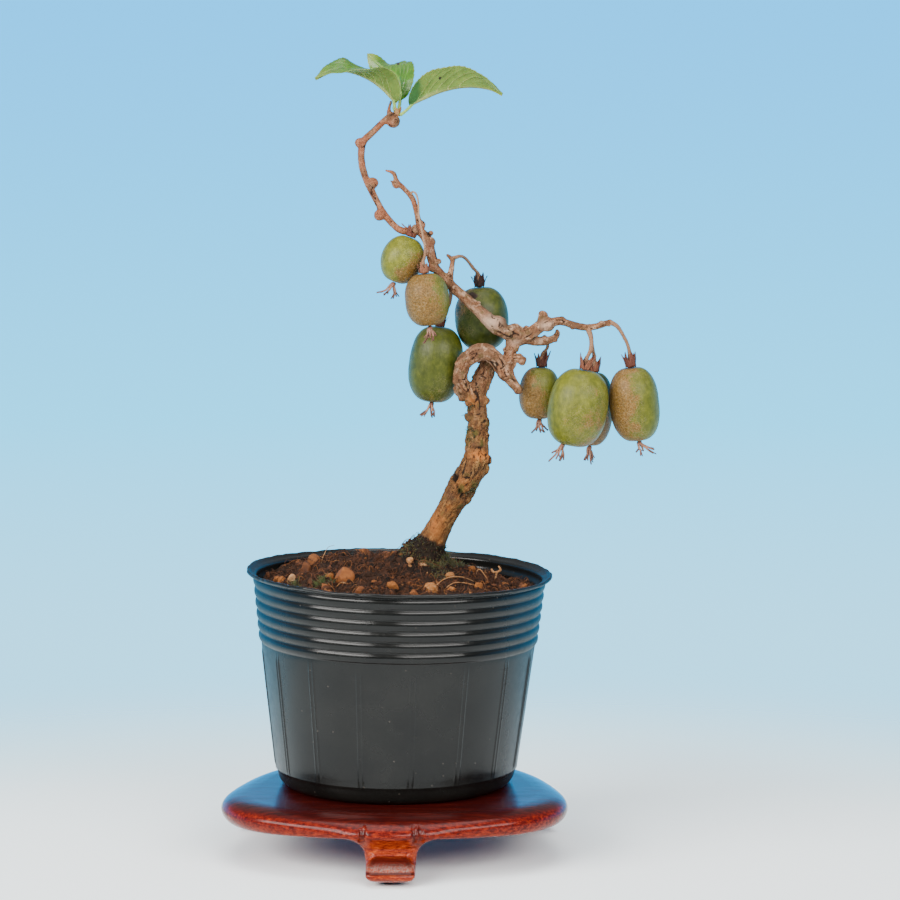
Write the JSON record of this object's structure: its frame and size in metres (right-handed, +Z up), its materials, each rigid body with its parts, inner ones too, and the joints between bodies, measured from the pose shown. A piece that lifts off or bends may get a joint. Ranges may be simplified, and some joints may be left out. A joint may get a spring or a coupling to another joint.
{
  "type": "hardy kiwi bonsai",
  "caption": "Small fruiting kiwi vine trained as a bonsai, standing in a mound of soil in a thin ribbed black plastic nursery pot on a low carved, three-legged lacquered wooden stand.",
  "frame": {"origin": "middle of the object's bounding box, on the floor under the stand", "axes": "+Z up; the side that the picture shows looks towards -Y, with the heavier fruits towards +X"},
  "size_m": [0.109, 0.0914, 0.1998],
  "materials": {
    "lacquered_wood": "gloss",
    "black_plastic": "satin",
    "potting_soil": "matte",
    "pebble_stone": "matte",
    "bark": "matte",
    "fruit_skin": "satin",
    "dry_fibre": "matte",
    "leaf": "satin"
  },
  "bodies": {
    "root": {"stand": "lacquered_wood", "pot": "black_plastic", "soil": "potting_soil", "pebble_1": "pebble_stone", "pebble_2": "pebble_stone", "pebble_3": "pebble_stone", "pebble_4": "pebble_stone", "pebble_5": "pebble_stone", "pebble_6": "pebble_stone", "pebble_7": "pebble_stone", "pebble_8": "pebble_stone", "wood": "bark", "fruit_1": "fruit_skin", "fruit_2": "fruit_skin", "fruit_3": "fruit_skin", "fruit_4": "fruit_skin", "fruit_5": "fruit_skin", "fruit_6": "fruit_skin", "fruit_7": "fruit_skin", "fruit_8": "fruit_skin", "styles_1": "dry_fibre", "styles_2": "dry_fibre", "styles_3": "dry_fibre", "styles_4": "dry_fibre", "styles_5": "dry_fibre", "styles_6": "dry_fibre", "styles_7": "dry_fibre", "styles_8": "dry_fibre", "leaf_left": "leaf", "leaf_back": "leaf", "leaf_right": "leaf"}
  },
  "joints": []
}
